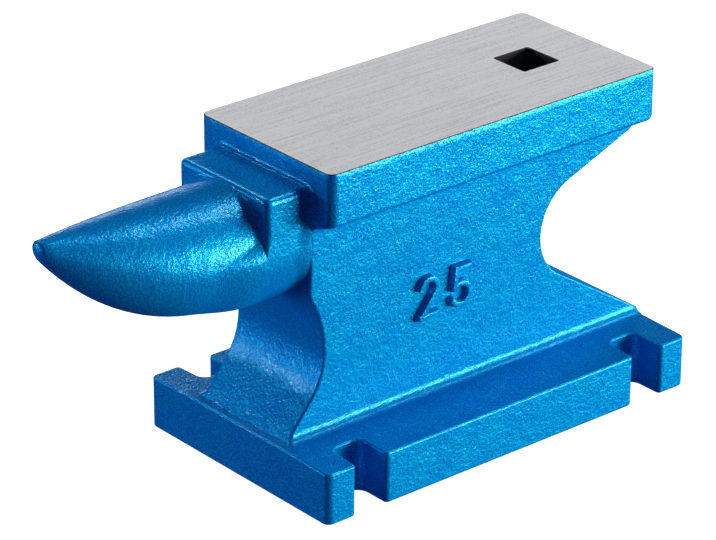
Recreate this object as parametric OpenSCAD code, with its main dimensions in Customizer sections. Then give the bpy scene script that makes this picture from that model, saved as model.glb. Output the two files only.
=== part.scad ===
// Single horn anvil, cast iron, painted, with a ground steel face.
// Origin at the centre of the underside of the base. The horn points to -X, the heel to +X, +Z is up.
// The anvil is symmetric about the plane y = 0.

/* [Face] */
// Length of the face, horn end to heel end
face_len = 219; // [200:1:235]
// Width of the face
face_w = 103; // [90:0.5:124]
// Height of the face above the bench
anvil_h = 178; // [168:0.5:198]
// Thickness of the steel face plate
face_t = 4; // [2:0.5:12]
// Radius of the four upright corners of the face
face_corner_r = 4; // [2:0.5:12]
// How far the middle of the face lies to the heel side of the middle of the base
face_shift = 5; // [-2:0.5:10]

/* [Block under the face] */
// Height of the upright sides under the edge of the face, plate included
side_h = 28.5; // [21:0.5:33]
// Slope of the underside, which falls from the side towards the waist
underside_angle = 20; // [5:1:30]

/* [Hardie hole] */
// Width of the square hardie hole
hardie_w = 24; // [17:0.5:29]
// Radius in the corners of the hardie hole
hardie_corner_r = 1.5; // [0.5:0.5:3]
// Distance from the heel end to the middle of the hardie hole
hardie_from_end = 44.5; // [36:0.5:48]

/* [Waist] */
// Width of the waist at its foot
waist_w = 68; // [58:0.5:76]
// Lean of the waist's sides, outwards as they rise
waist_lean = 1.1; // [0.3:0.1:2.5]
// Radius where the sides of the waist meet the base
foot_r = 5; // [2:0.5:9]
// How far the waist is cut in behind the horn end of the face
horn_throat_cut = 9.5; // [5:0.5:14]
// Height of the narrowest place of the waist at the horn end
horn_throat_z = 73; // [67:0.5:79]
// Radius of the waist below that place
horn_throat_lower_r = 40; // [31:1:44]
// Radius of the waist above that place
horn_throat_upper_r = 63; // [52:1:78]
// Strip of the base left bare before the foot at the horn end
horn_foot_land = 5; // [1:0.5:10]

/* [Heel] */
// Length of the overhang, from the throat to the heel end
heel_len = 63; // [56:0.5:69]
// Height of the throat under the heel
heel_throat_z = 94.5; // [88:0.5:100]
// Radius of the throat under the heel
heel_throat_r = 30; // [23:0.5:35]
// Depth of the heel's rib at the heel end
heel_rib_end = 4; // [2:0.5:10]
// Height of the foot above the base at the heel end
heel_foot_rise = 2.5; // [0.5:0.5:6]

/* [Base] */
// Length of the base
base_len = 247; // [230:1:260]
// Width of the base
base_w = 144; // [128:1:166]
// Thickness of the base at its outer edge
base_edge_h = 28.5; // [21:0.5:33]
// How much thicker the base is under the waist
base_crown = 1; // [0.5:0.5:5]
// Radius of the four upright corners of the base
base_corner_r = 4; // [1:0.5:10]

/* [Bolt slots] */
// Width of each bolt slot
slot_w = 19.5; // [13:0.5:25]
// Depth of each bolt slot, from the side of the base
slot_depth = 21; // [15:0.5:25]
// Distance between the middles of the two slots on one side
slot_pitch = 190; // [167:1:202]
// Radius in the inner corners of each slot
slot_corner_r = 6; // [2:0.5:6]

/* [Cutting table] */
// Length of the cutting table, from the face to the horn
table_len = 26.5; // [19:0.5:37]
// Width of the cutting table
table_w = 70; // [66:0.5:74]
// Depth of the cutting table below the face
table_drop = 11.5; // [6:0.5:12]
// Radius of the two upright corners beside the horn
table_corner_r = 2; // [1:0.5:5]

/* [Horn] */
// Length of the horn, from the cutting table to the tip
horn_len = 112.5; // [84:0.5:156]
// Radius of the horn at its root
horn_root_r = 32; // [25:0.5:33]
// Depth of the horn's level top line below the face
horn_top_drop = 12.4; // [12:0.1:15]
// Radius of the blunt nose
nose_r = 5.8; // [3:0.1:8]
// Length of the rounded nose
nose_len = 2.4; // [1:0.1:6]
// How full the underside is: 1 is a straight cone, more keeps it deep for longer
horn_fullness = 2.45; // [1.4:0.05:3.5]

/* [Hidden] */
$fn = 96;

// Cutters reach this far past what they cut
past = 10;
// Facets around the horn and along it, and along its nose
horn_sides = 40;
horn_rings = 18;
nose_rings = 4;

// Places along the anvil
face_horn_x = face_shift - face_len / 2;
face_heel_x = face_shift + face_len / 2;
throat_horn_x = face_horn_x + horn_throat_cut;
throat_heel_x = face_heel_x - heel_len;
hardie_x = face_heel_x - hardie_from_end;
table_x = face_horn_x - table_len;
nose_x = table_x - horn_len + nose_len;
foot_horn_x = -base_len / 2 + horn_foot_land;
foot_heel_x = base_len / 2;

// Heights
base_top = base_edge_h + base_crown;
side_bottom = anvil_h - side_h;
plate_bottom = anvil_h - face_t;
table_top = anvil_h - table_drop;
horn_top = anvil_h - horn_top_drop;
horn_axis_z = horn_top - horn_root_r;
root_bottom = horn_axis_z - table_w / 2;

// Half widths; the underside of the block slopes down to meet the leaning side of the waist
waist_half = waist_w / 2;
face_half = face_w / 2;
lean = tan(waist_lean);
slope = tan(underside_angle);
block_bottom = (side_bottom - (face_half - waist_half + lean * base_top) * slope) / (1 - lean * slope);
waist_top_half = waist_half + lean * (block_bottom - base_top);
heel_rib_z = block_bottom - heel_rib_end;

// Hollow corner of the foot: its circle touches the top of the base and the leaning side
side_length = sqrt(1 + lean * lean);
foot_c = [waist_half + foot_r * (lean + side_length), base_top + foot_r];
foot_touch = foot_c + foot_r / side_length * [-1, lean];

// Point where the straight line from p touches the circle about c; side is 1 or -1
function touch(c, r, p, side) =
    let (d = p - c, a = atan2(d[1], d[0]) + side * acos(r / norm(d)))
    c + r * [cos(a), sin(a)];

horn_lower_c = [throat_horn_x - horn_throat_lower_r, horn_throat_z];
horn_upper_c = [throat_horn_x - horn_throat_upper_r, horn_throat_z];
heel_c = [throat_heel_x + heel_throat_r, heel_throat_z];
horn_foot = [foot_horn_x, base_top];
heel_foot = [foot_heel_x, base_top + heel_foot_rise];
heel_end = [face_heel_x, heel_rib_z];
horn_touch = touch(horn_lower_c, horn_throat_lower_r, horn_foot, 1);
heel_foot_touch = touch(heel_c, heel_throat_r, heel_foot, -1);
heel_rib_touch = touch(heel_c, heel_throat_r, heel_end, 1);

// The horn's underside rises from its root to its nose along a power curve, under a level top line
function horn_radius(s) =
    let (root_low = horn_top - 2 * horn_root_r, nose_low = horn_top - 2 * nose_r)
    (horn_top - root_low - (nose_low - root_low) * pow(s, horn_fullness)) / 2;
function horn_ring_x(i) =
    i <= horn_rings ? table_x + (nose_x - table_x) * i / horn_rings
                    : nose_x - nose_len * sin(90 * (i - horn_rings) / nose_rings);
function horn_ring_r(i) =
    i <= horn_rings ? horn_radius(i / horn_rings) : nose_r * cos(90 * (i - horn_rings) / nose_rings);
function horn_ring_z(i) =
    i <= horn_rings ? horn_top - horn_ring_r(i) : horn_top - nose_r;

// Shape in the x-z plane, carried across the anvil
module across(w) {
    rotate([90, 0, 0])
        linear_extrude(height = w, center = true) children();
}

// Shape in the y-z plane, carried along the anvil from x0 to x1
module along(x0, x1) {
    translate([x0, 0, 0])
        rotate([90, 0, 90])
            linear_extrude(height = x1 - x0) children();
}

module rounded_rect(len, wid, r) {
    square([len - 2 * r, wid], center = true);
    square([len, wid - 2 * r], center = true);
    for (sx = [-1, 1], sy = [-1, 1])
        translate([sx * (len / 2 - r), sy * (wid / 2 - r)]) circle(r);
}

// Everything between two x values, as a flat mask seen from above
module strip(x0, x1) {
    translate([x0, -face_w]) square([x1 - x0, 2 * face_w]);
}

module face_outline() {
    translate([face_shift, 0]) rounded_rect(face_len, face_w, face_corner_r);
}

module hardie_cutter() {
    translate([hardie_x, 0, heel_throat_z])
        linear_extrude(height = anvil_h - heel_throat_z + past)
            rounded_rect(hardie_w, hardie_w, hardie_corner_r);
}

// Cross section of the block under the face, with its sloping underside
module block_section() {
    polygon([
        [-face_half, plate_bottom], [-face_half, side_bottom], [-waist_top_half, block_bottom],
        [waist_top_half, block_bottom], [face_half, side_bottom], [face_half, plate_bottom]
    ]);
}

// Cross section of the waist: leaning sides on a foot with hollow corners
module waist_section() {
    difference() {
        polygon([
            [-foot_c[0], base_top], [-foot_touch[0], foot_touch[1]], [-waist_top_half, block_bottom],
            [waist_top_half, block_bottom], foot_touch, [foot_c[0], base_top]
        ]);
        for (side = [-1, 1])
            translate([side * foot_c[0], foot_c[1]]) circle(foot_r);
    }
}

// Outline of the waist seen from the side, up to the line of the heel throat
module waist_profile() {
    difference() {
        polygon([
            horn_foot, horn_touch, [face_horn_x, horn_touch[1]], [face_horn_x, block_bottom],
            [throat_heel_x, block_bottom], [throat_heel_x, heel_throat_z],
            heel_foot_touch, heel_foot, [foot_heel_x, base_top]
        ]);
        intersection() {
            translate(horn_lower_c) circle(horn_throat_lower_r);
            translate([table_x - horn_len, 0]) square([horn_len + face_len, horn_throat_z]);
        }
        intersection() {
            translate(horn_upper_c) circle(horn_throat_upper_r);
            translate([table_x - horn_len, horn_throat_z]) square([horn_len + face_len, anvil_h]);
        }
        translate(heel_c) circle(heel_throat_r);
    }
}

// Outline of the rib under the heel seen from the side
module heel_rib_profile() {
    difference() {
        polygon([
            [throat_heel_x, heel_throat_z], heel_rib_touch, heel_end,
            [face_heel_x, block_bottom], [throat_heel_x, block_bottom]
        ]);
        translate(heel_c) circle(heel_throat_r);
    }
}

// Foot: a thick plate with four open bolt slots, slightly higher in the middle
module base() {
    color("dodgerblue")
        intersection() {
            linear_extrude(height = base_top)
                difference() {
                    rounded_rect(base_len, base_w, base_corner_r);
                    for (sx = [-1, 1], sy = [-1, 1])
                        translate([sx * slot_pitch / 2, sy * base_w / 2])
                            rounded_rect(slot_w, 2 * slot_depth, slot_corner_r);
                }
            along(-base_len / 2 - past, base_len / 2 + past)
                polygon([
                    [-base_w / 2, 0], [base_w / 2, 0], [base_w / 2, base_edge_h],
                    [foot_c[0], base_top], [-foot_c[0], base_top], [-base_w / 2, base_edge_h]
                ]);
        }
}

// Waist: the web that carries the block, hollowed at both ends, on a foot as long as the base
module waist() {
    color("dodgerblue")
        intersection() {
            across(base_w) waist_profile();
            along(-base_len / 2 - past, base_len / 2 + past) waist_section();
        }
}

// Block under the face, from the horn end to the heel
module body_block() {
    color("dodgerblue")
        intersection() {
            linear_extrude(height = plate_bottom)
                intersection() {
                    face_outline();
                    strip(face_horn_x - past, throat_heel_x);
                }
            along(face_horn_x - past, face_heel_x + past) block_section();
        }
}

// Heel: the rest of the block on its tapering rib, with the hardie hole through both
module heel_block() {
    color("dodgerblue")
        difference() {
            union() {
                intersection() {
                    linear_extrude(height = plate_bottom)
                        intersection() {
                            face_outline();
                            strip(throat_heel_x, face_heel_x + past);
                        }
                    along(throat_heel_x - past, face_heel_x + past) block_section();
                }
                intersection() {
                    across(base_w) heel_rib_profile();
                    along(throat_heel_x - past, face_heel_x + past) waist_section();
                }
            }
            hardie_cutter();
        }
}

// Ground steel plate on top of the block and the heel
module face_plate() {
    color("silver")
        difference() {
            translate([0, 0, plate_bottom])
                linear_extrude(height = face_t) face_outline();
            hardie_cutter();
        }
}

// Cutting table: the soft step between the face and the horn
module cutting_table() {
    color("dodgerblue")
        translate([0, 0, horn_axis_z])
            linear_extrude(height = table_top - horn_axis_z)
                difference() {
                    translate([table_x, -table_w / 2]) square([table_len, table_w]);
                    for (side = [-1, 1])
                        translate([table_x + table_corner_r, side * (table_w / 2 - table_corner_r)])
                            difference() {
                                translate([-past, side > 0 ? 0 : -past]) square(past);
                                circle(table_corner_r);
                            }
                }
}

// Round underside of the cutting table, which carries the horn and runs into the waist
module horn_root() {
    color("dodgerblue")
        difference() {
            intersection() {
                along(table_x, throat_horn_x)
                    translate([0, horn_axis_z]) circle(table_w / 2);
                translate([table_x, -table_w, root_bottom - past])
                    cube([table_len + horn_throat_cut, 2 * table_w, horn_axis_z - root_bottom + past]);
            }
            across(base_w) waist_profile();
        }
}

// Horn: round in every section, level on top, rising underneath to a blunt nose
module horn() {
    last = horn_rings + nose_rings - 1;
    tip = (last + 1) * horn_sides;
    color("dodgerblue")
        polyhedron(
            points = [
                for (i = [0:last], k = [0:horn_sides - 1])
                    let (a = 360 * k / horn_sides)
                    [horn_ring_x(i), horn_ring_r(i) * cos(a), horn_ring_z(i) + horn_ring_r(i) * sin(a)],
                [nose_x - nose_len, 0, horn_top - nose_r]
            ],
            faces = [
                [for (k = [0:horn_sides - 1]) k],
                for (i = [0:last - 1], k = [0:horn_sides - 1])
                    let (n = (k + 1) % horn_sides, a = i * horn_sides)
                    [a + n, a + k, a + horn_sides + k, a + horn_sides + n],
                for (k = [0:horn_sides - 1])
                    [last * horn_sides + (k + 1) % horn_sides, last * horn_sides + k, tip]
            ]
        );
}

base();
waist();
body_block();
heel_block();
face_plate();
cutting_table();
horn_root();
horn();
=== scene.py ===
import math

import bmesh
import bpy
import numpy as np
from mathutils import Matrix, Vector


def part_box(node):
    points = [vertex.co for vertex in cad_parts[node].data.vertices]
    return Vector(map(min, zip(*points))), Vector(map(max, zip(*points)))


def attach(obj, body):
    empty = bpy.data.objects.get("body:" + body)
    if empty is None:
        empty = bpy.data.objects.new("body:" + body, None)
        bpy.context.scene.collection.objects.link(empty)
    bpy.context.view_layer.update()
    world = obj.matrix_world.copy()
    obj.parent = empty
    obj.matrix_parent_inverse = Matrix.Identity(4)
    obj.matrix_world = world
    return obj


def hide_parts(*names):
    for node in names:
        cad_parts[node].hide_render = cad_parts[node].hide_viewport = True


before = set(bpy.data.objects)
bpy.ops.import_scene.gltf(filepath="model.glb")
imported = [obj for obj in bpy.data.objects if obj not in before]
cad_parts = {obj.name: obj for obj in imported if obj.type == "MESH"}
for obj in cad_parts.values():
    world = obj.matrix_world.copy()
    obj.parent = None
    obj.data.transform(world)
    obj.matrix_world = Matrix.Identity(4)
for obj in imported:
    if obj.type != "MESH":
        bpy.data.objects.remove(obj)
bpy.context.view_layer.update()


# View
# The camera stands where the photograph was taken from: in front of the horn end, a little above, far off
# with a long lens. The roll is the slight tilt of the picture.
VIEW_AZIMUTH = -40.23
VIEW_ELEVATION = 25.13
VIEW_ROLL = math.radians(0.26)
VIEW_DISTANCE = 2.036
VIEW_TARGET = np.array([-0.0205, 0.0272, 0.0745])
LENS = 196.4
SENSOR_WIDTH = 36


def show(name, data):
    """Puts an object made of this data into the scene."""
    made = bpy.data.objects.new(name, data)
    bpy.context.scene.collection.objects.link(made)
    return made


def seen_from(azimuth, elevation):
    """Three unit vectors for a direction in degrees: away from the anvil, level to the right, and upright.

    Azimuth 0 faces the near side and 90 the heel. Away has the sine and minus the cosine of the azimuth,
    both times the cosine of the elevation, and the sine of the elevation as its height. Level has the
    cosine and the sine of the azimuth. Upright is square to both.
    """
    a = math.radians(azimuth)
    e = math.radians(elevation)
    away = np.array([math.sin(a) * math.cos(e), -math.cos(a) * math.cos(e), math.sin(e)])
    level = np.array([math.cos(a), math.sin(a), 0.0])
    return away, level, np.cross(away, level)


def stand(thing, right, up, back, point):
    """Stands a camera or a lamp at a point, with its own axes along right, up and back."""
    place = np.eye(4)
    place[:3, :3] = np.stack([right, up, back], 1)
    place[:3, 3] = point
    thing.matrix_world = Matrix(place.tolist())


camera = bpy.data.cameras.new("view_camera")
camera.lens = LENS
camera.sensor_width = SENSOR_WIDTH
view = show("view_camera", camera)
bpy.context.scene.camera = view
view_back, view_level, view_upright = seen_from(VIEW_AZIMUTH, VIEW_ELEVATION)
view_right = math.cos(VIEW_ROLL) * view_level + math.sin(VIEW_ROLL) * view_upright
view_up = math.cos(VIEW_ROLL) * view_upright - math.sin(VIEW_ROLL) * view_level
stand(view, view_right, view_up, view_back, VIEW_TARGET + VIEW_DISTANCE * view_back)


# Studio
# The anvil is photographed on pure white. A large, slightly warm soft box low in front, towards the heel,
# does most of the work. Smaller ones over the heel and behind draw the pale lines along the edges, and a
# bluish one with a small glint lamp stands low behind the horn end.
LIT_POINT = np.array([-0.04, 0.0, 0.09])
WHITE = (1, 1, 1)
WARM = (1, 1, 0.84)
BLUISH = (0.55, 0.7, 1)
ROOM_COLOUR = (0.25, 0.42, 1, 1)
ROOM_LIGHT = 0.09
FLOOR_HALF = 60.0
FLOOR_GREY = (0.9, 0.9, 0.9, 1)
FLOOR_GLOW = 1.0


def soft_box(name, azimuth, elevation, width, height, power, colour=WHITE, distance=2.0):
    """An area light that faces the anvil from a direction in degrees; sizes in metres and power in watts."""
    lamp = bpy.data.lights.new(name, "AREA")
    lamp.shape = "RECTANGLE"
    lamp.size = width
    lamp.size_y = height
    lamp.energy = power
    lamp.color = colour
    away, level, upright = seen_from(azimuth, elevation)
    stand(show(name, lamp), level, upright, away, LIT_POINT + distance * away)


def new_material(name):
    """A new material and its surface shader."""
    made = bpy.data.materials.new(name)
    made.use_nodes = True
    return made, made.node_tree.nodes["Principled BSDF"]


def set_inputs(node, values):
    """Sets the inputs of a node from a table of their names and values."""
    for name, value in values.items():
        node.inputs[name].default_value = value


# The floor glows and is seen by the camera alone: it neither lights the anvil nor is mirrored in it.
opal, opal_shader = new_material("opal_sheet")
set_inputs(opal_shader, {
    "Base Color": FLOOR_GREY,
    "Roughness": 1.0,
    "Specular IOR Level": 0.0,
    "Emission Color": (*WHITE, 1),
    "Emission Strength": FLOOR_GLOW,
})
floor_corners = np.array([(-1, -1, 0), (1, -1, 0), (1, 1, 0), (-1, 1, 0)]) * FLOOR_HALF
floor_mesh = bpy.data.meshes.new("floor")
floor_mesh.from_pydata(floor_corners.tolist(), [], [(0, 1, 2, 3)])
floor_mesh.materials.append(opal)
floor = show("floor", floor_mesh)
floor.visible_diffuse = False
floor.visible_glossy = False
floor.visible_shadow = False

# The room is dim and bluish where it lights the anvil, and white where the camera sees it past the floor.
world = bpy.data.worlds.new("studio")
world.use_nodes = True
room = world.node_tree
dim_room = room.nodes["Background"]
set_inputs(dim_room, {"Color": ROOM_COLOUR, "Strength": ROOM_LIGHT})
white_wall = room.nodes.new("ShaderNodeBackground")
set_inputs(white_wall, {"Color": (*WHITE, 1), "Strength": 1.0})
rays = room.nodes.new("ShaderNodeLightPath")
seen = room.nodes.new("ShaderNodeMixShader")
room.links.new(rays.outputs["Is Camera Ray"], seen.inputs["Fac"])
room.links.new(dim_room.outputs["Background"], seen.inputs[1])
room.links.new(white_wall.outputs["Background"], seen.inputs[2])
room.links.new(seen.outputs["Shader"], room.nodes["World Output"].inputs["Surface"])
bpy.context.scene.world = world
bpy.context.scene.view_settings.view_transform = "Standard"

soft_box("front_box", 46, 1, width=3.2, height=1.9, power=274, colour=WARM, distance=4.0)
soft_box("high_box", 78, 55, width=0.5, height=0.5, power=12)
soft_box("back_box", 174, 46, width=0.35, height=0.8, power=8.5)
soft_box("rim_box", 146, 5, width=0.9, height=0.3, power=4.5)
soft_box("horn_end_box", 246, 0, width=0.9, height=0.6, power=13, colour=BLUISH)
soft_box("glint_box", 224, 12, width=0.15, height=0.15, power=5)


# Base
# The foot of the anvil, one with the rest of the casting: a thick plate that stands on the bench, with four
# open slots for hold-down bolts. Its top is a little higher in the middle, under the waist. Cast iron as it
# left the mould, painted with a thick metallic blue enamel.

# Lengths from here on are in millimetres, apart from MERGE, within which points become one, and the depths
# of the relief, which are in metres. SUPPORT is how far past a rounding the flat beyond it gets one more
# row of points.
MM = 0.001
MERGE = 1e-6
HAIR = 1e-6
NO_TURN = 1e-9
SUPPORT = 0.3
ARC_STEPS = 6
SMOOTH_BELOW = math.radians(32)
BASE_EDGE_H = 28.5
BASE_CORNER_R = 4
BASE_ROUND = 1.1
BASE_ROUND_STEPS = 5
SLOT_MIDDLE = 95
SLOT_HALF = 9.75
SLOT_DEPTH = 21
SLOT_CORNER_R = 6
SLOT_MOUTH_R = 2.5

# A noise is given by its cells to the metre and how many times finer noise is laid over it.
FLAKE_NOISE = (3600, 1)
CLOUD_NOISE = (60, 4)
CLOUD_SHARE = 0.07
FLAKES_FROM = 0.36
FLAKES_FULL = 0.87
BINDER_BLUE = (0.0, 0.03, 0.58, 1)
FLAKE_BLUE = (0.003, 0.76, 0.80, 1)
COARSE_NOISE = (110, 2)
COARSE_STRENGTH = 0.5
COARSE_DEPTH = 0.0008
FINE_NOISE = (620, 2)
FINE_STRENGTH = 0.6
FINE_DEPTH = 0.0005


def span(node):
    """Lowest and highest corner of a node of the frame, in millimetres."""
    low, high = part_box(node)
    return np.array(low) / MM, np.array(high) / MM


def quarter(steps):
    """Angles from 0 to 90 degrees in even steps, in radians."""
    return np.linspace(0, math.pi / 2, steps + 1)


def outline(corners, inset=0.0, steps=ARC_STEPS):
    """Points round a closed flat outline, anticlockwise, in rows of (x, y).

    Each corner is (x, y, radius). Its arc is the arc's centre plus the radius, turned in even steps from
    one side's normal to the next. Moving the outline inwards keeps the centres, so the radius of an outer
    corner loses the inset and that of an inner corner gains it. One more point lies on the straight just
    beyond each end of the arc, which keeps the flat sides flat when they are shaded.
    """
    table = np.asarray(corners, float)
    point, radius = table[:, :2], table[:, 2]
    along = np.roll(point, -1, 0) - point
    along /= np.linalg.norm(along, axis=1, keepdims=True)
    before = np.roll(along, 1, 0)
    turn = np.arctan2(before[:, 0] * along[:, 1] - before[:, 1] * along[:, 0], (before * along).sum(1))
    inward = np.stack([-before[:, 1], before[:, 0]], 1)
    inward_next = np.stack([-along[:, 1], along[:, 0]], 1)
    outer = turn > NO_TURN
    radius = np.where(outer, np.maximum(radius, inset), -radius) * (np.abs(turn) > NO_TURN)
    centre = point + radius[:, None] * (inward + inward_next) / (1 + (inward * inward_next).sum(1))[:, None]
    angle = turn[:, None] * np.linspace(0, 1, steps + 1)
    across_x = inward[:, :1] * np.cos(angle) - inward[:, 1:] * np.sin(angle)
    across_y = inward[:, :1] * np.sin(angle) + inward[:, 1:] * np.cos(angle)
    reach = (radius - inset)[:, None]
    arc = np.stack([centre[:, :1] - reach * across_x, centre[:, 1:] - reach * across_y], 2)
    first = arc[:, :1] - SUPPORT * before[:, None]
    last = arc[:, -1:] + SUPPORT * along[:, None]
    return np.concatenate([first, arc, last], 1).reshape(-1, 2)


def weld(mesh):
    """Merges points that lie on each other and turns every face outwards.

    All edges are then shaded smooth, apart from those where the faces turn by more than SMOOTH_BELOW.
    """
    work = bmesh.new()
    work.from_mesh(mesh)
    bmesh.ops.remove_doubles(work, verts=work.verts, dist=MERGE)
    bmesh.ops.dissolve_degenerate(work, edges=work.edges, dist=MERGE)
    bmesh.ops.recalc_face_normals(work, faces=work.faces)
    work.to_mesh(mesh)
    work.free()
    mesh.shade_smooth()
    mesh.set_sharp_from_angle(angle=SMOOTH_BELOW)


def skin(name, rings, caps=None):
    """A mesh object from a grid of points in millimetres: ring by ring, and round each ring.

    Neighbouring rings are joined by four-sided faces. caps are lists of point numbers, each one flat face;
    without them the first and the last ring are closed by one face each.
    """
    count, around = rings.shape[:2]
    number = np.arange(count * around).reshape(count, around)
    following = np.roll(number, -1, 1)
    sides = np.stack([number[:-1], following[:-1], following[1:], number[1:]], -1)
    if caps is None:
        caps = [number[0], number[-1]]
    faces = sides.reshape(-1, 4).tolist() + [cap.tolist() for cap in caps]
    mesh = bpy.data.meshes.new(name)
    mesh.from_pydata((rings.reshape(-1, 3) * MM).tolist(), [], faces)
    weld(mesh)
    return show(name, mesh)


def finish_with(piece, *materials):
    """Gives a piece its materials, numbered in this order."""
    for material in materials:
        piece.data.materials.append(material)


def noise(tree, coordinates, scale, detail):
    """The strength of a noise, with scale cells to a unit of the coordinates and detail finer layers."""
    pattern = tree.nodes.new("ShaderNodeTexNoise")
    set_inputs(pattern, {"Scale": scale, "Detail": detail})
    tree.links.new(coordinates, pattern.inputs["Vector"])
    return pattern.outputs["Fac"]


def relief(tree, pattern, strength, depth):
    """A bump that raises the surface by a pattern, with its full height as depth in metres."""
    bump = tree.nodes.new("ShaderNodeBump")
    set_inputs(bump, {"Strength": strength, "Distance": depth})
    tree.links.new(pattern, bump.inputs["Height"])
    return bump


def blue_enamel():
    """Metallic enamel over rough cast iron: bright blue flakes in a deep blue binder, under clear gloss.

    The share of flakes is fine noise plus a little of a coarse one, which rises smoothly from none to full.
    It mixes the two blues and is also how metallic the surface is. Two sizes of noise, one bump on the
    other, are the relief of the cast skin, which the clear gloss follows.
    """
    made, shader = new_material("blue_enamel")
    tree = made.node_tree
    place = tree.nodes.new("ShaderNodeTexCoord").outputs["Object"]

    settled = tree.nodes.new("ShaderNodeMath")
    settled.operation = "MULTIPLY_ADD"
    settled.inputs[1].default_value = CLOUD_SHARE
    tree.links.new(noise(tree, place, *CLOUD_NOISE), settled.inputs[0])
    tree.links.new(noise(tree, place, *FLAKE_NOISE), settled.inputs[2])
    share = tree.nodes.new("ShaderNodeMapRange")
    share.interpolation_type = "SMOOTHSTEP"
    set_inputs(share, {"From Min": FLAKES_FROM, "From Max": FLAKES_FULL})
    tree.links.new(settled.outputs["Value"], share.inputs["Value"])
    tree.links.new(share.outputs["Result"], shader.inputs["Metallic"])

    tint = tree.nodes.new("ShaderNodeMix")
    tint.data_type = "RGBA"
    set_inputs(tint, {"A": BINDER_BLUE, "B": FLAKE_BLUE})
    tree.links.new(share.outputs["Result"], tint.inputs["Factor"])
    tree.links.new(tint.outputs["Result"], shader.inputs["Base Color"])

    coarse = relief(tree, noise(tree, place, *COARSE_NOISE), COARSE_STRENGTH, COARSE_DEPTH)
    fine = relief(tree, noise(tree, place, *FINE_NOISE), FINE_STRENGTH, FINE_DEPTH)
    tree.links.new(coarse.outputs["Normal"], fine.inputs["Normal"])
    tree.links.new(fine.outputs["Normal"], shader.inputs["Normal"])
    tree.links.new(fine.outputs["Normal"], shader.inputs["Coat Normal"])

    set_inputs(shader, {
        "Roughness": 0.40,
        "Specular IOR Level": 0.0,
        "Coat Weight": 0.2,
        "Coat Roughness": 0.07,
    })
    return made


enamel = blue_enamel()

base_high = span("base")[1]
waist_low, waist_high = span("waist")
half_len, half_wid, crown_z = base_high
foot_half = waist_high[1]

near_side = [(-half_len, -foot_half, 0), (-half_len, -half_wid, BASE_CORNER_R)]
for middle in (-SLOT_MIDDLE, SLOT_MIDDLE):
    near_side += [
        (middle - SLOT_HALF, -half_wid, SLOT_MOUTH_R),
        (middle - SLOT_HALF, SLOT_DEPTH - half_wid, SLOT_CORNER_R),
        (middle + SLOT_HALF, SLOT_DEPTH - half_wid, SLOT_CORNER_R),
        (middle + SLOT_HALF, -half_wid, SLOT_MOUTH_R),
    ]
near_side += [(half_len, -half_wid, BASE_CORNER_R), (half_len, -foot_half, 0)]
base_corners = near_side + [(-x, -y, r) for x, y, r in near_side]


def base_ring(inset, distance, from_top):
    """The base's outline moved in by inset, at a distance above the bench or, with from_top, below the top.

    The top is level under the waist and falls evenly from there to both long edges.
    """
    flat = outline(base_corners, inset)
    share = np.clip((np.abs(flat[:, 1]) - foot_half) / (half_wid - foot_half), 0, 1)
    top = crown_z - (crown_z - BASE_EDGE_H) * share
    height = top - distance if from_top else np.full(len(flat), distance)
    return np.column_stack([flat, height])


base_rings = [base_ring(BASE_ROUND + SUPPORT, 0.0, False)]
for a in quarter(BASE_ROUND_STEPS):
    base_rings.append(base_ring(BASE_ROUND * (1 - math.sin(a)), BASE_ROUND * (1 - math.cos(a)), False))
base_rings.append(base_ring(0, BASE_ROUND + SUPPORT, False))
base_rings.append(base_ring(0, BASE_ROUND + SUPPORT, True))
for a in quarter(BASE_ROUND_STEPS):
    base_rings.append(base_ring(BASE_ROUND * (1 - math.cos(a)), BASE_ROUND * (1 - math.sin(a)), True))
base_rings.append(base_ring(BASE_ROUND + SUPPORT, 0, True))
base_rings = np.array(base_rings)

# The underside is one flat face, and the top is three: the level middle and a slope on each side of it.
top_number = (len(base_rings) - 1) * base_rings.shape[1]
top_y = base_rings[-1][:, 1]
base_caps = [
    np.arange(base_rings.shape[1]),
    top_number + np.flatnonzero(top_y <= -foot_half + HAIR),
    top_number + np.flatnonzero(np.abs(top_y) <= foot_half + HAIR),
    top_number + np.flatnonzero(top_y >= foot_half - HAIR),
]
base = skin("anvil_base", base_rings, base_caps)
finish_with(base, enamel)
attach(base, "root")
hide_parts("base")


# Waist
# The web between the foot and the block, cut in by a sweep at each end so that the anvil is lighter and
# work can hang down beside it. Its sides lean out a little as they rise and meet the foot in a hollow
# corner, as a pattern maker shapes it so that it leaves the mould.
WAIST_FOOT_HALF = 34
LEAN = math.tan(math.radians(1.1))
FOOT_R = 5
WAIST_EDGE_R = 1.5
WAIST_SUNK = 1.5
HORN_THROAT = (-95, 73)
HORN_SWEEP_LOW_R = 40
HORN_SWEEP_HIGH_R = 63
HEEL_THROAT = (51.5, 94.5)
HEEL_SWEEP_R = 30
HEEL_RIB_END = 4
HEEL_FOOT_RISE = 2.5
BLOCK_FILLET = 2.9
BLOCK_UNDER = math.radians(20)
JOIN_SPARE = 0.01
FOOT_POINTS = 11
WALL_POINTS = 36
UNDER_POINTS = 8
PLAN_STEPS = 4

block_low, block_high = span("body_block")
face_horn_x, block_bottom = block_low[0], block_low[2]
heel_end_x = span("heel_block")[1][0]
heel_rib_z = block_bottom - HEEL_RIB_END
horn_foot = (waist_low[0], crown_z)
heel_foot = (waist_high[0], crown_z + HEEL_FOOT_RISE)


def touch(centre, radius, start, side):
    """Point where the straight line from start touches the circle; side is 1 or -1.

    Seen from the centre it lies off the direction of start by the angle whose cosine is radius over
    distance.
    """
    dx, dz = start[0] - centre[0], start[1] - centre[1]
    a = math.atan2(dz, dx) + side * math.acos(radius / math.hypot(dx, dz))
    return centre[0] + radius * math.cos(a), centre[1] + radius * math.sin(a)


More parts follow.
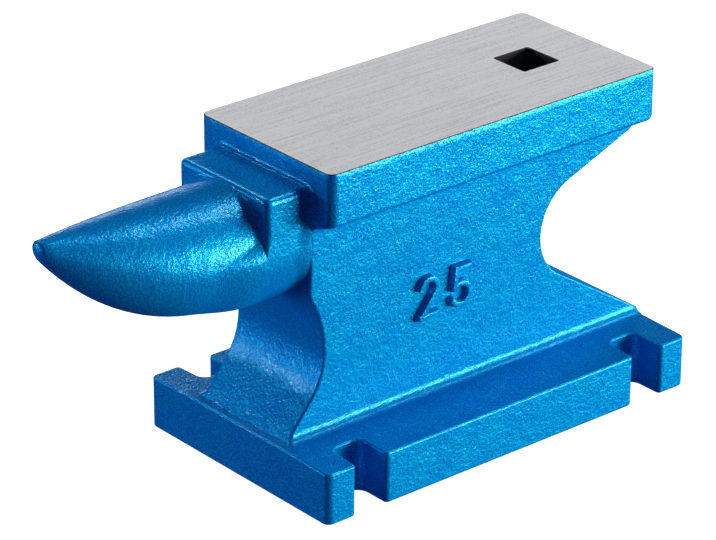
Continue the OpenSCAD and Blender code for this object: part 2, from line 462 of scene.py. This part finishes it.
horn_low_c = (HORN_THROAT[0] - HORN_SWEEP_LOW_R, HORN_THROAT[1])
horn_high_c = (HORN_THROAT[0] - HORN_SWEEP_HIGH_R, HORN_THROAT[1])
heel_c = (HEEL_THROAT[0] + HEEL_SWEEP_R, HEEL_THROAT[1])
horn_touch = touch(horn_low_c, HORN_SWEEP_LOW_R, horn_foot, 1)
heel_touch = touch(heel_c, HEEL_SWEEP_R, heel_foot, -1)
rib_touch = touch(heel_c, HEEL_SWEEP_R, (heel_end_x, heel_rib_z), 1)


def half_chord(radius, off):
    """Half width of a circle at a distance off its middle: the root of radius squared less off squared."""
    return np.sqrt(np.clip(radius**2 - off**2, 0, None))


def horn_end(z):
    """Where the waist ends towards the horn at height z: a straight foot, a tight arc, then a wide arc."""
    straight = np.interp(z, [horn_foot[1], horn_touch[1]], [horn_foot[0], horn_touch[0]])
    low = horn_low_c[0] + half_chord(HORN_SWEEP_LOW_R, z - HORN_THROAT[1])
    high = horn_high_c[0] + half_chord(HORN_SWEEP_HIGH_R, z - HORN_THROAT[1])
    lower = np.where(z < horn_touch[1], straight, low)
    return np.where(z < HORN_THROAT[1], lower, np.maximum(high, face_horn_x))


def heel_end(z):
    """Where the waist ends towards the heel at height z: a straight foot, then an arc."""
    straight = np.interp(z, [heel_foot[1], heel_touch[1]], [heel_foot[0], heel_touch[0]])
    arc = heel_c[0] - half_chord(HEEL_SWEEP_R, z - HEEL_THROAT[1])
    return np.where(z < heel_touch[1], straight, arc)


def waist_wall(z):
    """Half width of the leaning side at height z: the half width at the foot plus lean times rise."""
    return WAIST_FOOT_HALF + LEAN * (z - crown_z)


def waist_half(z):
    """Half width of the waist at height z: the hollow quarter circle at its foot, then the leaning side."""
    hollow = foot_half - half_chord(FOOT_R, crown_z + FOOT_R - z)
    return np.where(z < crown_z + FOOT_R, hollow, waist_wall(z))


def upright_profile():
    """Half width against height, from just inside the base up to the underside of the block.

    The hollow corner at the foot is a quarter circle that touches the base and the leaning side. At the
    top the side runs into the sloping underside along a curve drawn towards their corner: the share left
    squared times its start, plus twice both shares times the corner, plus the share done squared times
    its end.
    """
    turn = np.linspace(0, math.pi / 2 + math.atan(LEAN), FOOT_POINTS)
    foot_y = foot_half - FOOT_R * np.sin(turn)
    foot_z = crown_z + FOOT_R * (1 - np.cos(turn))
    rise = np.linspace(foot_z[-1], block_bottom - BLOCK_FILLET, WALL_POINTS)[1:]
    corner = np.array([waist_wall(block_bottom), block_bottom])
    start = corner - BLOCK_FILLET * np.array([LEAN, 1])
    stop = corner + BLOCK_FILLET * np.array([math.cos(BLOCK_UNDER), math.sin(BLOCK_UNDER)])
    t = np.linspace(0, 1, UNDER_POINTS)[1:, None]
    hollow = (1 - t)**2 * start + 2 * t * (1 - t) * corner + t**2 * stop
    half = np.concatenate([[foot_half], foot_y, waist_wall(rise), hollow[:, 0], hollow[-1:, 0]])
    height = np.concatenate([
        [crown_z - WAIST_SUNK], foot_z, rise, hollow[:, 1], hollow[-1:, 1] + WAIST_SUNK,
    ])
    return half, height


def plan_ring(x0, x1, half, height, r0, r1):
    """A level rounded rectangle from x0 to x1, with corner radius r0 at the x0 end and r1 at the x1 end."""
    flat = outline([(x0, -half, r0), (x1, -half, r1), (x1, half, r1), (x0, half, r0)], 0, PLAN_STEPS)
    return np.column_stack([flat, np.full(len(flat), height)])


# Above join_z the heel's rib takes over, so the waist ends flat at the throat of the sweep. Every height
# where the sweeps change has a ring of its own.
join_back = HEEL_SWEEP_R - WAIST_EDGE_R - SUPPORT - JOIN_SPARE
join_z = HEEL_THROAT[1] + math.sqrt(HEEL_SWEEP_R**2 - join_back**2)
change_z = np.array([HORN_THROAT[1], HEEL_THROAT[1], join_z, horn_touch[1], heel_touch[1], heel_foot[1]])
half_list, height_list = upright_profile()
half_list = np.concatenate([half_list, waist_half(change_z)])
height_list = np.concatenate([height_list, change_z])
order = np.argsort(height_list, kind="stable")
half_list, height_list = half_list[order], height_list[order]

waist_rings = []
for z, half in zip(height_list, half_list):
    if z > join_z + HAIR:
        heel_x, heel_r = HEEL_THROAT[0], 0
    else:
        heel_x, heel_r = float(heel_end(z)), WAIST_EDGE_R
    waist_rings.append(plan_ring(float(horn_end(z)), heel_x, half, z, WAIST_EDGE_R, heel_r))
waist = skin("anvil_waist", np.array(waist_rings))
finish_with(waist, enamel)
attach(waist, "root")
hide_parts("waist")


# Body block
# The heavy block under the face, which takes the blows. Its sides are upright, its lower edges are rounded
# and its underside slopes in to the waist. Part of the same casting.
FACE_HALF = 51.5
PLATE_BOTTOM = 174
BLOCK_EDGE_R = 2.3
HORN_END_CORNER_R = 5
HORN_END_LOW_R = 2.3
HEEL_END_CORNER_R = 4
HEEL_END_LOW_R = 4.5
BLOCK_END_STEPS = 8


def block_ring(x, half, lift):
    """The block's cross section at x, its underside raised by lift.

    The sides are upright and end in rounded lower edges. From there the underside slopes in to the waist.
    """
    inner = waist_wall(block_bottom)
    inner_z = block_bottom + lift
    side_z = block_bottom + (half - inner) * math.tan(BLOCK_UNDER) + lift
    flat = outline([
        (-half, side_z, BLOCK_EDGE_R), (-inner, inner_z, 0), (inner, inner_z, 0),
        (half, side_z, BLOCK_EDGE_R), (half, PLATE_BOTTOM, 0), (-half, PLATE_BOTTOM, 0),
    ])
    return np.column_stack([np.full(len(flat), x), flat])


def block_end(end_x, towards, corner_r, low_r):
    """Rings from just before an end of the block to its end face.

    towards is 1 at the heel's end and -1 at the horn's. The upright corners and the lower edge are rounded
    by quarter circles, so each ring is narrower and starts higher than the one before: by the radius less
    the root of the radius squared less the square of how far the ring is past the circle's middle.
    """
    reach = max(corner_r, low_r)
    rings = []
    for a in quarter(BLOCK_END_STEPS):
        left = reach * (1 - math.sin(a))
        narrower = corner_r - math.sqrt(corner_r**2 - max(corner_r - left, 0)**2)
        higher = low_r - math.sqrt(low_r**2 - max(low_r - left, 0)**2)
        rings.append(block_ring(end_x - towards * left, FACE_HALF - narrower, higher))
    return rings


body_rings = [
    block_ring(block_high[0], FACE_HALF, 0),
    block_ring(face_horn_x + HORN_END_CORNER_R + SUPPORT, FACE_HALF, 0),
    *block_end(face_horn_x, -1, HORN_END_CORNER_R, HORN_END_LOW_R),
]
body = skin("anvil_body_block", np.array(body_rings))
finish_with(body, enamel)
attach(body, "root")
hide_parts("body_block")


# Heel
# The end of the block that overhangs the waist, on a rib that tapers to its end. A square hole, the
# hardie hole, goes through block and rib for the shanks of bottom tools; it is left unpainted, and its
# walls are near-black, darker than bare iron, which paints in the shade deep in the hole.
FACE_Z = 178
HARDIE_HALF = 12
HARDIE_CORNER_R = 1.5
HARDIE_FROM_END = 44.5
HARDIE_CHAMFER = 0.4
BAR_BOTTOM = 90
BAR_OVER = 5
RIB_SWEEP_POINTS = 14
RIB_END_POINTS = 10
# Near-black, darker than bare iron: painted shade in the hardie hole and a painted shadow line on the face's
# bevel.
IRON_AND_SHADE_DARK = (0.02, 0.02, 0.022, 1)

shade_iron, shade_iron_shader = new_material("bare_iron_and_painted_shade")
set_inputs(shade_iron_shader, {"Base Color": IRON_AND_SHADE_DARK, "Roughness": 0.7})

heel_rings = [
    block_ring(block_high[0], FACE_HALF, 0),
    block_ring(heel_end_x - HEEL_END_LOW_R - SUPPORT, FACE_HALF, 0),
    *block_end(heel_end_x, 1, HEEL_END_CORNER_R, HEEL_END_LOW_R),
]
heel = skin("anvil_heel_block", np.array(heel_rings))

# The rib's end follows the sweep, runs straight on towards the end of the block and turns up in a rounding
# that ends flush with it.
rib_slope = math.atan2(heel_rib_z - rib_touch[1], heel_end_x - rib_touch[0])
rib_cut = HEEL_END_LOW_R * math.tan((math.pi / 2 - rib_slope) / 2)
rib_turn = np.linspace(rib_slope - math.pi / 2, 0, RIB_END_POINTS)
sweep_z = np.linspace(join_z, rib_touch[1], RIB_SWEEP_POINTS)
rib_path = np.concatenate([
    np.column_stack([heel_end(sweep_z), sweep_z]),
    np.column_stack([
        heel_end_x - HEEL_END_LOW_R * (1 - np.cos(rib_turn)),
        heel_rib_z + rib_cut + HEEL_END_LOW_R * np.sin(rib_turn),
    ]),
    np.array([[heel_end_x, height_list[-1]], [heel_end_x, block_bottom + HEEL_END_LOW_R + BLOCK_FILLET]]),
])
rib_half = np.interp(rib_path[:, 1], height_list, half_list)
rib_rings = [
    plan_ring(HEEL_THROAT[0], x, half, z, 0, WAIST_EDGE_R)
    for (x, z), half in zip(rib_path, rib_half)
]
rib = skin("heel_rib", np.array(rib_rings))


def combine(piece, other, operation):
    """Applies a Boolean of piece with other and removes other."""
    change = piece.modifiers.new("join", "BOOLEAN")
    change.object = other
    change.operation = operation
    change.solver = "EXACT"
    graph = bpy.context.evaluated_depsgraph_get()
    made = bpy.data.meshes.new_from_object(piece.evaluated_get(graph), depsgraph=graph)
    piece.modifiers.clear()
    piece.data = made
    bpy.data.objects.remove(other)
    weld(made)


def hardie_bar():
    """The square bar that cuts the hardie hole and leaves near-black iron there, as painted shade in the
    hole.

    Its corners are rounded, and it widens by a small chamfer at the face.
    """
    levels = (
        (BAR_BOTTOM, 0),
        (FACE_Z - HARDIE_CHAMFER, 0),
        (FACE_Z, HARDIE_CHAMFER),
        (FACE_Z + BAR_OVER, HARDIE_CHAMFER + BAR_OVER),
    )
    middle_x = heel_end_x - HARDIE_FROM_END
    r = HARDIE_CORNER_R
    rings = []
    for height, wider in levels:
        half = HARDIE_HALF + wider
        rings.append(plan_ring(middle_x - half, middle_x + half, half, height, r, r))
    bar = skin("hardie_bar", np.array(rings))
    finish_with(bar, enamel, shade_iron)
    bar.data.polygons.foreach_set("material_index", np.ones(len(bar.data.polygons), np.int32))
    return bar


finish_with(heel, enamel, shade_iron)
finish_with(rib, enamel, shade_iron)
combine(heel, rib, "UNION")
combine(heel, hardie_bar(), "DIFFERENCE")
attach(heel, "root")
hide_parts("heel_block")


# Face plate
# The working face: a steel plate let into the top of the casting and ground flat along its length. The
# enamel comes up its sides as far as the thin bevel round the face, which is near-black: a painted shadow
# line along the edge.
FACE_CHAMFER = 0.4
CHAMFER_MIDDLE = 0.3
FACE_STEPS = 8
LEVEL_SPARE = 0.01
GRAIN_STRETCH = (24, 1500, 24)
GRAIN_NOISE = (1, 3)
PIT_NOISE = (1200, 1)
PIT_SHARE = 0.4
STREAK_DARK = (0.74, 0.73, 0.715, 1)
STREAK_LIGHT = (1.0, 0.98, 0.94, 1)
STREAKS_FROM = 0.38
STREAKS_FULL = 0.52


def ground_steel():
    """Bare steel with the fine lengthways scratches of a surface grinder.

    The scratches are noise that is drawn out lengthways, mixed with fine round pits. Their strength picks a
    colour between a darker and a lighter steel.
    """
    made, shader = new_material("ground_steel")
    tree = made.node_tree
    place = tree.nodes.new("ShaderNodeTexCoord").outputs["Object"]
    stretch = tree.nodes.new("ShaderNodeMapping")
    stretch.inputs["Scale"].default_value = GRAIN_STRETCH
    tree.links.new(place, stretch.inputs["Vector"])
    worn = tree.nodes.new("ShaderNodeMix")
    worn.inputs["Factor"].default_value = PIT_SHARE
    tree.links.new(noise(tree, stretch.outputs["Vector"], *GRAIN_NOISE), worn.inputs["A"])
    tree.links.new(noise(tree, place, *PIT_NOISE), worn.inputs["B"])
    tint = tree.nodes.new("ShaderNodeValToRGB")
    dark, light = tint.color_ramp.elements
    dark.position, dark.color = STREAKS_FROM, STREAK_DARK
    light.position, light.color = STREAKS_FULL, STREAK_LIGHT
    tree.links.new(worn.outputs["Result"], tint.inputs["Fac"])
    tree.links.new(tint.outputs["Color"], shader.inputs["Base Color"])
    set_inputs(shader, {"Metallic": 0.15, "Roughness": 0.6, "Specular IOR Level": 0.2})
    return made


def face_ring(inset, height):
    """The face's outline moved in by inset, at that height."""
    flat = outline([
        (face_horn_x, -FACE_HALF, HORN_END_CORNER_R), (heel_end_x, -FACE_HALF, HEEL_END_CORNER_R),
        (heel_end_x, FACE_HALF, HEEL_END_CORNER_R), (face_horn_x, FACE_HALF, HORN_END_CORNER_R),
    ], inset, FACE_STEPS)
    return np.column_stack([flat, np.full(len(flat), height)])


plate_rings = np.array([
    face_ring(0, PLATE_BOTTOM),
    face_ring(0, FACE_Z - FACE_CHAMFER),
    face_ring(FACE_CHAMFER * CHAMFER_MIDDLE, FACE_Z - FACE_CHAMFER * CHAMFER_MIDDLE),
    face_ring(FACE_CHAMFER, FACE_Z),
    face_ring(FACE_CHAMFER + SUPPORT, FACE_Z),
])
plate = skin("anvil_face_plate", plate_rings)
finish_with(plate, enamel, shade_iron, ground_steel())

# Enamel up the sides, the near-black material on the bevel as a painted shadow line, and steel on top, by
# the height of each face's middle.
middles = np.zeros(len(plate.data.polygons) * 3, np.float32)
plate.data.polygons.foreach_get("center", middles)
middle_z = middles.reshape(-1, 3)[:, 2]
past_edge = (middle_z > (FACE_Z - FACE_CHAMFER + LEVEL_SPARE) * MM).astype(np.int32)
on_top = (middle_z > (FACE_Z - LEVEL_SPARE) * MM).astype(np.int32)
plate.data.polygons.foreach_set("material_index", past_edge + on_top)
combine(plate, hardie_bar(), "DIFFERENCE")
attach(plate, "root")
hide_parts("face_plate")


# Cutting table
# The step between the face and the horn, soft enough to cut on with a chisel. It is cast in one with the
# rest, and hollow curves fill its corners against the block and the waist.
TABLE_FRONT_R = 3.2
TABLE_EDGE_R = 3.4
TABLE_END_FILLET = 4.8
TABLE_TOP_FILLET = 2.5
WAIST_FLARE_LEN = 8
INTO_BLOCK = 1.0
SIDE_STEP = 5
SIDE_POINTS = 5
ROUND_FROM = 1
ROUND_FULL = 13
BESIDE_BLOCK_FROM = -2
BESIDE_BLOCK_FULL = 8
FRONT_STEPS = 6
FLARE_STEPS = 10
table_low, table_high = span("cutting_table")
table_x, table_half, table_top, axis_z = table_low[0], table_high[1], table_high[2], table_low[2]


def ease(value, start, stop):
    """0 before start and 1 after stop; between them three times the share squared less twice its cube."""
    t = np.clip((value - start) / (stop - start), 0, 1)
    return t * t * (3 - 2 * t)


def flare(angle, soft):
    """Share of its full height that a flared surface has risen at an angle from 0 to 90 degrees.

    It is a quarter circle that ends upright against a wall, or where soft is 1 an even curve that ends
    level.
    """
    along = np.sin(angle)
    return (1 - soft) * (1 - np.cos(angle)) + soft * along * along * (3 - 2 * along)


def front_round(z):
    """Share of the front rounding at height z: all high on the table, none from the horn's axis down."""
    return ease(z, axis_z + ROUND_FROM, axis_z + ROUND_FULL)


def table_outline():
    """The table's section above the horn's axis, in rows of (y, z, outward y, outward z).

    The sides are upright and the top edges rounded. Outward is the direction from the middle of the
    rounding, or straight out where there is none.
    """
    upper = outline([
        (-table_half, axis_z - table_half, 0), (table_half, axis_z - table_half, 0),
        (table_half, table_top, TABLE_EDGE_R), (-table_half, table_top, TABLE_EDGE_R),
    ])
    upper = upper[upper[:, 1] > axis_z - HAIR]
    side_z = axis_z + SIDE_STEP * np.arange(SIDE_POINTS)
    right_side = np.column_stack([np.full(SIDE_POINTS, table_half), side_z])
    left_side = np.column_stack([np.full(SIDE_POINTS, -table_half), side_z[::-1]])
    points = np.concatenate([right_side, upper, left_side])
    out = np.zeros_like(points)
    centre_y, centre_z = table_half - TABLE_EDGE_R, table_top - TABLE_EDGE_R
    out[:, 0] = np.sign(points[:, 0]) * np.clip(np.abs(points[:, 0]) - centre_y, 0, None)
    out[:, 1] = np.clip(points[:, 1] - centre_z, 0, None)
    out /= np.linalg.norm(out, axis=1, keepdims=True)
    return np.hstack([points, out])


def carried(section, x_stop, height, length, soft):
    """The section carried from the front of the table to x_stop.

    At the front each point starts set back by a quarter circle of the front rounding; towards x_stop it
    moves out along its own normal by height over length, as flare says.
    """
    points, out = section[:, :2], section[:, 2:]
    radius = TABLE_FRONT_R * front_round(points[:, 1])
    rings = [np.column_stack([np.full(len(points), table_x), points - out * (radius + SUPPORT)[:, None]])]
    for a in quarter(FRONT_STEPS):
        x = table_x + radius * (1 - math.cos(a))
        rings.append(np.column_stack([x, points - out * (radius * (1 - math.sin(a)))[:, None]]))
    rings.append(np.column_stack([table_x + radius + SUPPORT, points]))
    rings.append(np.column_stack([x_stop - length - SUPPORT, points]))
    for a in quarter(FLARE_STEPS):
        x = x_stop - length * (1 - math.sin(a))
        rings.append(np.column_stack([x, points + out * (height * flare(a, soft))[:, None]]))
    rings.append(rings[-1] + np.array([INTO_BLOCK, 0, 0]))
    return np.array(rings)


# High up the sides end in a round hollow against the block; lower they widen softly to the waist's width.
table_section = table_outline()
high = ease(table_section[:, 1], block_bottom + BESIDE_BLOCK_FROM, block_bottom + BESIDE_BLOCK_FULL)
side_share = table_section[:, 2]**2
side_gap = waist_wall(table_section[:, 1]) - table_half
side_flare = TABLE_END_FILLET * high + side_gap * (1 - high)
side_len = TABLE_END_FILLET * high + WAIST_FLARE_LEN * (1 - high)
table_flare = side_flare * side_share + TABLE_TOP_FILLET * (1 - side_share)
table_len = side_len * side_share + TABLE_TOP_FILLET * (1 - side_share)
table_stop = np.full(len(table_section), face_horn_x)
table_soft = (1 - high) * side_share
table = skin("anvil_cutting_table", carried(table_section, table_stop, table_flare, table_len, table_soft))
finish_with(table, enamel)
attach(table, "root")
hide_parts("cutting_table")


# Horn root
# The round underside of the table, which carries it and the horn into the waist. It is cast in one with
# both, and meets the sweep of the waist in a hollow corner that grows softer towards the sides.
ROOT_FILLET = 3.5
ROOT_POINTS = 37
DEEP_FROM = 8
DEEP_FULL = 40

root_angle = np.linspace(math.pi, 2 * math.pi, ROOT_POINTS)
root_out = np.column_stack([np.cos(root_angle), np.sin(root_angle)])
root_section = np.hstack([np.array([0, axis_z]) + table_half * root_out, root_out])
below_axis = np.degrees(np.arcsin(np.clip((axis_z - root_section[:, 1]) / table_half, 0, 1)))
deep = ease(below_axis, DEEP_FROM, DEEP_FULL)
root_flare = (waist_wall(axis_z) - table_half) * (1 - deep) + ROOT_FILLET * deep
root_len = WAIST_FLARE_LEN * (1 - deep) + ROOT_FILLET * deep
root_stop = horn_end(root_section[:, 1] - root_flare / 2)
root = skin("anvil_horn_root", carried(root_section, root_stop, root_flare, root_len, 1 - deep))
finish_with(root, enamel)
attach(root, "root")
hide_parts("horn_root")


# Horn
# The round beak for bending work over: level on top, rising underneath to a blunt nose. It grows out of the
# front of the table through a hollow curve, and runs flush into the round underside.
HORN_SIDES = 96
HORN_POINTS = 41
HORN_ROOT_R = 32
HORN_FULLNESS = 2.45
HORN_FILLET = 4
HORN_BLEND = 30
NOSE_R = 5.8
NOSE_LEN = 2.4
NOSE_TURN = math.radians(70)
NOSE_POINTS = 8
INTO_TABLE = 1.5
NEVER_ZERO = 1e-3
horn_low, horn_high = span("horn")
horn_top = horn_high[2]
nose_x = horn_low[0] + NOSE_LEN


def horn_radius(x):
    """Radius of the horn at x, under a level top.

    From the root's radius it falls towards the nose's by the share of the way raised to HORN_FULLNESS.
    """
    s = np.clip((table_x - x) / (table_x - nose_x), 0, 1)
    return HORN_ROOT_R - (HORN_ROOT_R - NOSE_R) * s**HORN_FULLNESS


# How far the table's front reaches in each direction round the horn's middle, and so how much the horn has
# to widen there. Above, a tight hollow does it on the flat front; below, a long blend that ends flush.
around = np.linspace(-math.pi, math.pi, HORN_SIDES, endpoint=False)
from_top = np.degrees(np.abs(around))
reach_up = (table_top - axis_z) / np.maximum(np.cos(around), NEVER_ZERO)
reach_aside = table_half / np.maximum(np.abs(np.sin(around)), NEVER_ZERO)
table_reach = np.where(from_top < 90, np.minimum(reach_up, reach_aside), table_half)
round_share = front_round(axis_z + table_reach * np.cos(around))
widening = np.clip(table_reach - HORN_ROOT_R - TABLE_FRONT_R * round_share, 0, HORN_FILLET)
blend_len = HORN_FILLET * round_share + HORN_BLEND * (1 - round_share)


def horn_ring(x, middle_z, radius):
    """Points round the horn at x, at a radius from its middle; each is one number or one for every point."""
    return np.column_stack([
        np.broadcast_to(x, HORN_SIDES), radius * np.sin(around), middle_z + radius * np.cos(around),
    ])


# The blunt nose is part of an ellipse that is shorter along the horn than across it, pushed up towards the
# tip so that its top runs level into the horn's.
nose_wide = NOSE_R / math.sin(NOSE_TURN)
nose_long = NOSE_LEN / (1 - math.cos(NOSE_TURN))
nose_rise = nose_wide / (nose_long * math.tan(NOSE_TURN))
horn_rings = [horn_ring(nose_x - NOSE_LEN, horn_top - NOSE_R + nose_rise * NOSE_LEN, 0)]
for a in np.linspace(0, NOSE_TURN, NOSE_POINTS)[1:]:
    before_join = nose_long * (math.cos(a) - math.cos(NOSE_TURN))
    middle_z = horn_top - NOSE_R + nose_rise * before_join
    horn_rings.append(horn_ring(nose_x - before_join, middle_z, nose_wide * math.sin(a)))
for t in np.linspace(0, 1, HORN_POINTS)[1:]:
    x = nose_x + (table_x - blend_len - nose_x) * t
    r = horn_radius(x)
    horn_rings.append(horn_ring(x, horn_top - r, r))
for a in quarter(FLARE_STEPS)[1:]:
    x = table_x - blend_len * (1 - math.sin(a))
    r = horn_radius(x)
    horn_rings.append(horn_ring(x, horn_top - r, r + widening * flare(a, 1 - round_share)))
horn_rings.append(horn_rings[-1] + np.array([INTO_TABLE, 0, 0]))
horn_cap = (len(horn_rings) - 1) * HORN_SIDES + np.arange(HORN_SIDES)
horn = skin("anvil_horn", np.array(horn_rings), [horn_cap])
finish_with(horn, enamel)
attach(horn, "root")
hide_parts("horn")


# Cast figures
# Plain raised figures on the near side of the waist, for the weight in kilograms. They are cut into the
# pattern with sloping sides so that it draws from the sand, and are painted over.
FIGURE_RISE = 3.4
FIGURE_WIDE = 9
FIGURE_HIGH = 18
FIGURE_GROWN = 1.15
FIGURE_PITCH = 22
FIGURES_X = -33
FIGURES_Z = 74.5
BOW_STEPS = 14
SHARPEST_BEND = 0.6
TWO_BOW_FROM = 170
TWO_BOW_TO = -36.9
FIVE_HEAD_RIGHT = 8.5
FIVE_HEAD_LEFT = 1.2
FIVE_HEAD_FOOT = 0.3
FIVE_BELLY_X = 4.0
FIVE_BELLY_R = 5.2
FIVE_BELLY_FROM = 135
FIVE_BELLY_TO = -150

# Half the stroke's width at each height over the wall, from just under it to the flat top.
STROKE = np.array([
    [2.3, -0.5],
    [2.2, 0.0],
    [1.5, FIGURE_RISE - 0.5],
    [1.25, FIGURE_RISE - 0.13],
    [0.9, FIGURE_RISE],
])


def bow(centre, radius, start, stop):
    """Points on an arc from one angle to another, in degrees: centre plus radius times cosine and sine."""
    a = np.radians(np.linspace(start, stop, BOW_STEPS + 1))
    return np.column_stack([centre[0] + radius * np.cos(a), centre[1] + radius * np.sin(a)])


def stroke(path, at_x):
    """A raised bar along a path on the wall.

    Its cross section is moved along the path, turned with it, and widened at each bend so that both sides
    stay the same distance from the path. At both ends it slopes down as its sides do.
    """
    step = np.diff(path, axis=0)
    step /= np.linalg.norm(step, axis=1, keepdims=True)
    before = np.vstack([step[:1], step])
    after = np.vstack([step, step[-1:]])
    mean = before + after
    mean /= np.linalg.norm(mean, axis=1, keepdims=True)
    bend = np.maximum((mean * before).sum(1), SHARPEST_BEND)
    side = np.column_stack([-mean[:, 1], mean[:, 0]]) / bend[:, None]
    section = np.vstack([STROKE * [-1, 1], STROKE[::-1]])
    lowered = [
        (beyond, np.column_stack([section[:, 0], np.minimum(section[:, 1], rise)]))
        for beyond, rise in STROKE[:-1]
    ]
    rings = [(path[0] - mean[0] * beyond, side[0], ring) for beyond, ring in lowered]
    rings += [(place, aside, section) for place, aside in zip(path, side)]
    rings += [(path[-1] + mean[-1] * beyond, side[-1], ring) for beyond, ring in lowered[::-1]]
    wall_point = np.array([at_x, -waist_wall(FIGURES_Z), FIGURES_Z])
    wall_along = np.array([1, 0, 0])
    wall_up = np.array([0, -LEAN, 1]) / math.hypot(1, LEAN)
    wall_out = np.array([0, -1, -LEAN]) / math.hypot(1, LEAN)
    grid = []
    for place, aside, ring in rings:
        flat = place + aside * ring[:, :1]
        on_wall = wall_point + flat[:, :1] * wall_along + flat[:, 1:] * wall_up
        grid.append(on_wall + ring[:, 1:] * wall_out)
    return np.array(grid)


# The 2 is a bow that runs on straight to the foot, and the foot; the 5 is its head and its belly.
bow_r = FIGURE_WIDE / 2
two_bow = bow((bow_r, FIGURE_HIGH - bow_r), bow_r, TWO_BOW_FROM, TWO_BOW_TO)
two = np.vstack([two_bow, [[0, 0]]])
two_foot = np.array([[0, 0], [FIGURE_WIDE, 0]])
five_head = np.array([
    [FIVE_HEAD_RIGHT, FIGURE_HIGH],
    [FIVE_HEAD_LEFT, FIGURE_HIGH],
    [FIVE_HEAD_FOOT, FIGURE_HIGH / 2],
])
five_belly = bow((FIVE_BELLY_X, FIVE_BELLY_R), FIVE_BELLY_R, FIVE_BELLY_FROM, FIVE_BELLY_TO)
strokes = [
    ("figure_stroke_1", two, FIGURES_X),
    ("figure_stroke_2", two_foot, FIGURES_X),
    ("figure_stroke_3", five_head, FIGURES_X + FIGURE_PITCH),
    ("figure_stroke_4", five_belly, FIGURES_X + FIGURE_PITCH),
]
for name, path, at_x in strokes:
    mark = skin(name, stroke(path * FIGURE_GROWN, at_x))
    finish_with(mark, enamel)
    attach(mark, "root")
